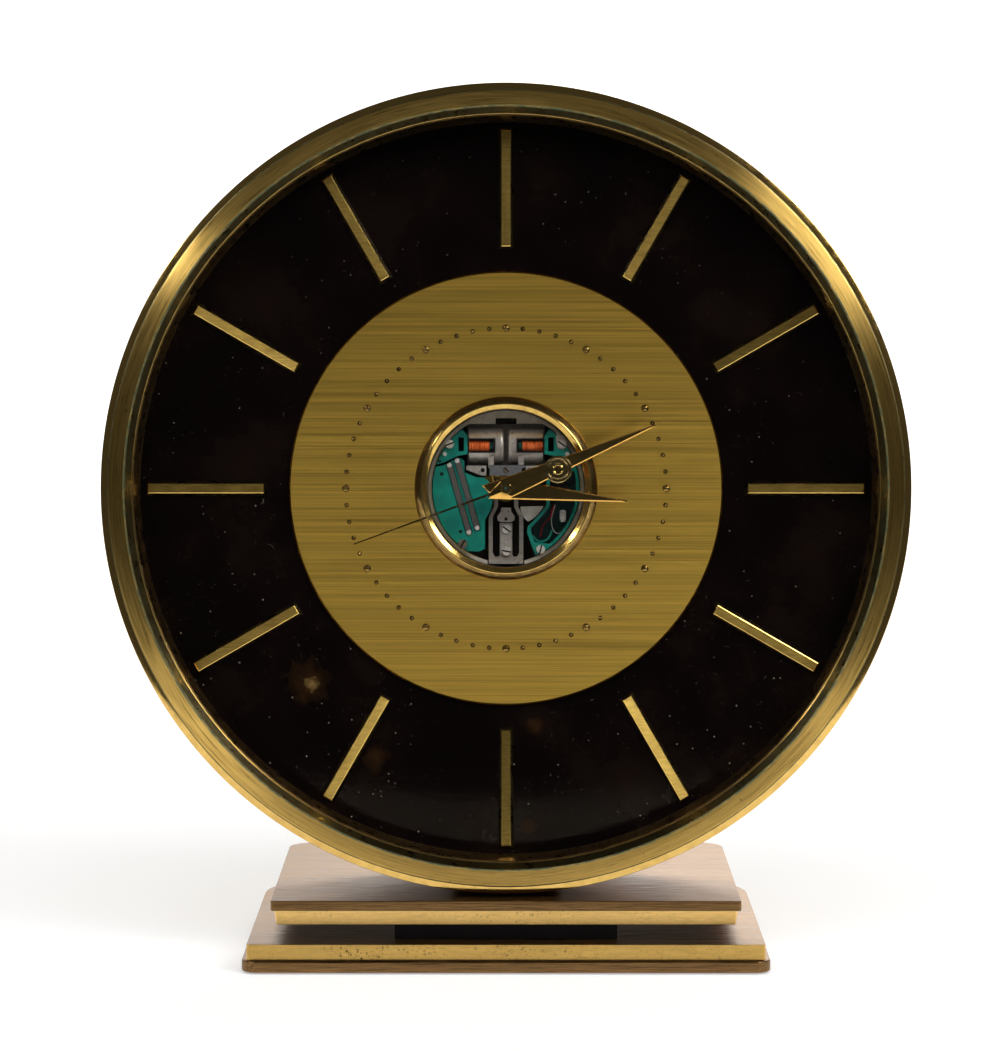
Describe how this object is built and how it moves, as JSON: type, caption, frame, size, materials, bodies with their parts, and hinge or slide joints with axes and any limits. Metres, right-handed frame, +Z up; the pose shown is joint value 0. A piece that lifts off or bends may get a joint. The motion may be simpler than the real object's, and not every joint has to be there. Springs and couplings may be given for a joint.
{
  "type": "desk clock",
  "caption": "Round brass desk clock on a stepped base, black dial with gold centre disc, open-view tuning-fork movement, folding setting handle at the back.",
  "frame": {"origin": "centre of the bounding box at the floor, under the base", "axes": "+Z up, the dial faces -Y and leans back 4 degrees, +X to the viewer's right"},
  "size_m": [0.1436, 0.0676, 0.156],
  "materials": {
    "base_pad": "green felt",
    "lower_plate": "satin brushed",
    "lower_band": "polished",
    "spacer_block": "black",
    "upper_band": "polished",
    "upper_plate": "satin brushed",
    "case_saddle": "black",
    "saddle_nut": "plain",
    "base_bolts": "plain",
    "drum_shell": "brushed round the drum",
    "bezel_ring": "brushed round the ring",
    "crystal": "clear",
    "rehaut_ring": "polished",
    "dial_plate": "gloss black",
    "hour_batons": "polished",
    "dial_disc": "fine horizontal brushing",
    "aperture_ring": "polished",
    "movement_holder": "black",
    "back_cover": "satin",
    "main_plate": "nickel plated, frosted",
    "tuning_fork": "satin",
    "cup_magnet_left": "satin",
    "cup_magnet_right": "satin",
    "coil_left": "enamelled copper wire",
    "coil_right": "enamelled copper wire",
    "coil_form_left": "green",
    "coil_form_right": "green",
    "circuit_plate": "green",
    "contact_straps": "plain",
    "circuit_frame": "green",
    "transistor": "black",
    "capacitor": "plain",
    "red_lead": "red",
    "centre_bar": "blued grey",
    "foot_plates": "satin",
    "fork_clamp": "satin",
    "wedge_plate": "satin",
    "quarter_plate": "frosted",
    "train_housing": "satin",
    "battery_cell": "plain",
    "battery_hatch": "satin",
    "seconds_arbor": "plain",
    "seconds_hand": "dark gilt",
    "cannon_pinion": "plain",
    "minute_hand": "dark gilt",
    "minute_wheel": "plain",
    "hour_wheel": "plain",
    "hour_hand": "dark gilt",
    "setting_shaft": "plain",
    "setting_handle": "plain"
  },
  "bodies": {
    "clock": {"base_pad": "base_pad", "lower_plate": "lower_plate", "lower_band": "lower_band", "spacer_block": "spacer_block", "upper_band": "upper_band", "upper_plate": "upper_plate", "case_saddle": "case_saddle", "saddle_nut": "saddle_nut", "base_bolts": "base_bolts", "drum_shell": "drum_shell", "bezel_ring": "bezel_ring", "crystal": "crystal", "rehaut_ring": "rehaut_ring", "dial_plate": "dial_plate", "hour_batons": "hour_batons", "dial_disc": "dial_disc", "aperture_ring": "aperture_ring", "movement_holder": "movement_holder", "back_cover": "back_cover", "main_plate": "main_plate", "tuning_fork": "tuning_fork", "cup_magnet_left": "cup_magnet_left", "cup_magnet_right": "cup_magnet_right", "coil_left": "coil_left", "coil_right": "coil_right", "coil_form_left": "coil_form_left", "coil_form_right": "coil_form_right", "circuit_plate": "circuit_plate", "contact_straps": "contact_straps", "circuit_frame": "circuit_frame", "transistor": "transistor", "capacitor": "capacitor", "red_lead": "red_lead", "centre_bar": "centre_bar", "foot_plates": "foot_plates", "fork_clamp": "fork_clamp", "wedge_plate": "wedge_plate", "quarter_plate": "quarter_plate", "train_housing": "train_housing"},
    "minute_hand": {"minute_hand": "minute_hand", "cannon_pinion": "cannon_pinion"},
    "minute_wheel": {"minute_wheel": "minute_wheel"},
    "hour_hand": {"hour_hand": "hour_hand", "hour_wheel": "hour_wheel"},
    "seconds_hand": {"seconds_hand": "seconds_hand", "seconds_arbor": "seconds_arbor"},
    "setting_shaft": {"setting_shaft": "setting_shaft"},
    "setting_handle": {"setting_handle": "setting_handle"},
    "battery_hatch": {"battery_hatch": "battery_hatch"},
    "battery_cell": {"battery_cell": "battery_cell"}
  },
  "joints": [
    {"name": "minute_turn", "type": "hinge", "parent": "clock", "child": "minute_hand", "pos_m": [0, -0.01299, 0.08392], "axis": [0, 0.9976, -0.0698], "continuous": true},
    {"name": "minute_wheel_turn", "type": "hinge", "parent": "clock", "child": "minute_wheel", "pos_m": [-0.003, -0.00501, 0.08336], "axis": [0, 0.9976, -0.0698], "continuous": true},
    {"name": "hour_turn", "type": "hinge", "parent": "clock", "child": "hour_hand", "pos_m": [0, -0.01199, 0.08385], "axis": [0, 0.9976, -0.0698], "continuous": true},
    {"name": "seconds_turn", "type": "hinge", "parent": "clock", "child": "seconds_hand", "pos_m": [0, -0.01399, 0.08399], "axis": [0, 0.9976, -0.0698], "continuous": true},
    {"name": "setting_turn", "type": "hinge", "parent": "clock", "child": "setting_shaft", "pos_m": [-0.0056, 0.00686, 0.08102], "axis": [0, 0.9976, -0.0698], "continuous": true},
    {"name": "handle_fold", "type": "hinge", "parent": "setting_shaft", "child": "setting_handle", "pos_m": [-0.0056, 0.00731, 0.08099], "axis": [1, 0, 0], "range_deg": [0, 90]},
    {"name": "hatch_lift", "type": "slide", "parent": "clock", "child": "battery_hatch", "axis": [0, 0.9976, -0.0698], "range_m": [0, 0.024]},
    {"name": "cell_slide", "type": "slide", "parent": "clock", "child": "battery_cell", "axis": [0, 0.9976, -0.0698], "range_m": [0, 0.012]}
  ],
  "couplings": [
    {"joint": "minute_wheel_turn", "follows": "minute_turn", "ratio": -0.33333},
    {"joint": "hour_turn", "follows": "minute_turn", "ratio": 0.083333},
    {"joint": "seconds_turn", "follows": "minute_turn", "ratio": 60},
    {"joint": "setting_turn", "follows": "minute_turn", "ratio": 1},
    {"joint": "cell_slide", "follows": "hatch_lift", "ratio": 0.5}
  ]
}
